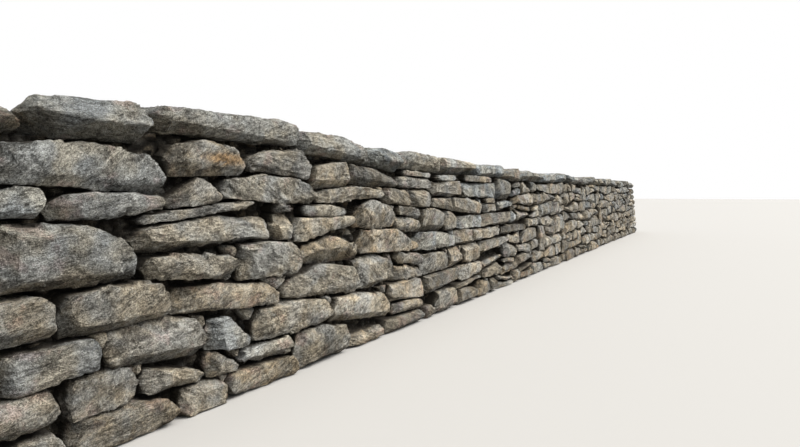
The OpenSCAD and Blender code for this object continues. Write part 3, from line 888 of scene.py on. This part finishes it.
def pack_joints(material):
    """Small stones packed between the faces, widened until they show behind the open joints."""
    packing = cad_body("hearting")
    low, high = stone_box(packing)
    rows = int((high.z - low.z) / PACKING_ROW)
    cut_across(packing, UP, [low.z + (i + 1) * PACKING_ROW for i in range(rows)])
    cut_across(packing, RIGHT, packing_columns(low.x, high.x))
    new_layers(packing)
    grain = packing.verts.layers.float_vector["grain"]
    kinds = packing.verts.layers.float_color["kind"]
    for vert in packing.verts:
        vert.co, vert[grain], vert[kinds] = packed_place(vert)
    show(mesh_of(packing, "hearting_stones"), "hearting", material)


def near_mark(middle, along, height):
    """Whether the stone with this middle is the front or cap stone that a mark means."""
    gap = math.hypot(middle.x - near_end_x - along, middle.z - height)
    return middle.y < MARKED_BEFORE and gap < MARK_REACH


def cut_marked(stone, middle):
    """Makes the large breaks of the near stones that have them."""
    for along, height, normal, depth in CUTS:
        if near_mark(middle, along, height):
            cut_off(stone, Vector(normal), depth)


def kind_of(middle, rng, base_warmth):
    """A stone's tone and warmth: those of its mark where it has one, and otherwise drawn."""
    usual = NEAR_TONE if middle.x < near_end_x + NEAR_LENGTH else FAR_TONE
    tone = min(1.0, max(0.0, rng.gauss(usual, TONE_SPREAD)))
    warmth = min(1.0, max(0.0, base_warmth + rng.gauss(0.0, WARMTH_SPREAD)))
    for along, height, marked_tone, marked_warmth in MARKED:
        if near_mark(middle, along, height):
            return marked_tone, marked_warmth
    return tone, warmth


def dress(node, material, seed, outs, voxels, base_warmth, crowned=False, corners=1.0):
    """Dresses every stone of a node and shows them as one piece in the node's place.

    outs are the ways that the shown sides of its stones look, the main one first.
    """
    rng = random.Random(seed)
    sunk = len(outs) == 1
    whole = bmesh.new()
    new_layers(whole)
    for stone in separate_stones(node):
        low, high = stone_box(stone)
        middle = (low + high) / 2
        voxel = voxel_for(middle.x, voxels)
        cut_marked(stone, middle)
        break_stone(stone, outs, rng, crowned, corners)
        if sunk:
            squeeze(stone, outs[0], HIDDEN_SQUEEZE)
        stone = even_mesh(stone, voxel)
        if sunk:
            squeeze(stone, outs[0], 1.0 / HIDDEN_SQUEEZE)
            drop_hidden_end(stone, outs[0])
        new_layers(stone)
        weather(stone, outs, rng, voxel, kind_of(middle, rng, base_warmth))
        if sunk:
            joint = 0.0 if voxel < CRISP_VOXEL else FAR_JOINT
            fit(stone, low, high, (0,), outs[0], FIT_DEPTH_ALONG, joint)
            fit(stone, low, high, (2,), outs[0], FIT_DEPTH, joint)
        else:
            fit(stone, low, high, (0, 1, 2), outs[0], math.inf, 0.0)
        finish_stone(whole, stone)
    show(mesh_of(whole, node + "_stones"), node, material)


# The floor and the light


def lay_floor():
    """A plain pale floor under the wall, which throws back less light than it shows."""
    ground = bmesh.new()
    bmesh.ops.create_grid(ground, x_segments=1, y_segments=1, size=FLOOR_SIZE)
    mesh = mesh_of(ground, "floor")
    floor = placed("floor", mesh)
    material = bpy.data.materials.new("floor")
    material.use_nodes = True
    tree = material.node_tree
    seen = add(tree, "ShaderNodeLightPath").outputs["Is Camera Ray"]
    shader = tree.nodes["Principled BSDF"]
    tree.links.new(blend(tree, seen, FLOOR_LIT, FLOOR_SEEN), shader.inputs["Base Color"])
    shader.inputs["Roughness"].default_value = DULLNESS
    mesh.materials.append(material)


def light_scene():
    """Soft daylight: an even sky, a broad light from above and a softer one from above the front."""
    world = bpy.data.worlds.new("studio")
    bpy.context.scene.world = world
    world.use_nodes = True
    tree = world.node_tree
    tree.nodes.clear()
    lit = add(tree, "ShaderNodeBackground", {"Color": SKY, "Strength": SKY_STRENGTH})
    seen = add(tree, "ShaderNodeBackground", {"Color": WHITE, "Strength": 1.0})
    rays = add(tree, "ShaderNodeLightPath")
    shown = maths(tree, "MAXIMUM", rays.outputs["Is Camera Ray"], rays.outputs["Is Glossy Ray"])
    shown = maths(tree, "MAXIMUM", shown, rays.outputs["Is Transmission Ray"])
    mix = add(tree, "ShaderNodeMixShader", {0: shown, 1: lit.outputs[0], 2: seen.outputs[0]})
    add(tree, "ShaderNodeOutputWorld", {"Surface": mix.outputs[0]})
    for name, strength, spread, direction in LAMPS:
        lamp = bpy.data.lights.new(name, "SUN")
        lamp.energy = strength
        lamp.angle = math.radians(spread)
        lamp.color = LAMP_COLOUR
        light = placed(name, lamp)
        light.rotation_euler = Vector(direction).to_track_quat("-Z", "Y").to_euler()


# The wall, node by node


def dress_face(side, out, voxels, seed, face_stone, foot_stone):
    """Dresses the footing, the courses and the pins of one face."""
    outs = (out,)
    dress(side + "_footing", foot_stone, seed + FOOT_SEED, outs, voxels, FOOT_WARMTH)
    for course in courses:
        name = f"{side}_course_{course}"
        warmth = LOW_WARMTH - WARMTH_STEP * course
        dress(name, face_stone, seed + COURSE_SEED + course, outs, voxels, warmth)
    dress(side + "_pins", face_stone, seed + PIN_SEED, outs, PIN_VOXELS, PIN_WARMTH)


def dress_end(side, out, seed, face_stone):
    """Dresses the squared stones of one end, which show on three sides."""
    name = side + "_end_stones"
    outs = (out, FRONT, BACK)
    dress(name, face_stone, seed, outs, END_VOXELS, END_WARMTH, corners=END_CORNERS)


def dress_caps(cap_stone):
    """Dresses the cap stones, which show their tops and both sides."""
    outs = (FRONT, BACK)
    dress("cap_stones", cap_stone, CAP_SEED, outs, CAP_VOXELS, CAP_WARMTH, crowned=True)


def build_wall():
    """Dresses the whole wall and packs its joints."""
    face_stone, cap_stone, foot_stone, shaded_packed_stone = (
        stone_material(*kind) for kind in (FACE_GNEISS, CAP_GNEISS, FOOT_GNEISS, PACKED_GNEISS_SHADED)
    )
    dress_face("front", FRONT, FACE_VOXELS, 0, face_stone, foot_stone)
    dress_face("back", BACK, BACK_VOXELS, BACK_SEED, face_stone, foot_stone)
    dress_end("left", LEFT, LEFT_SEED, face_stone)
    dress_end("right", RIGHT, RIGHT_SEED, face_stone)
    dress_caps(cap_stone)
    pack_joints(shaded_packed_stone)


place_camera()
lay_floor()
light_scene()
bpy.context.scene.view_settings.view_transform = "Standard"
build_wall()
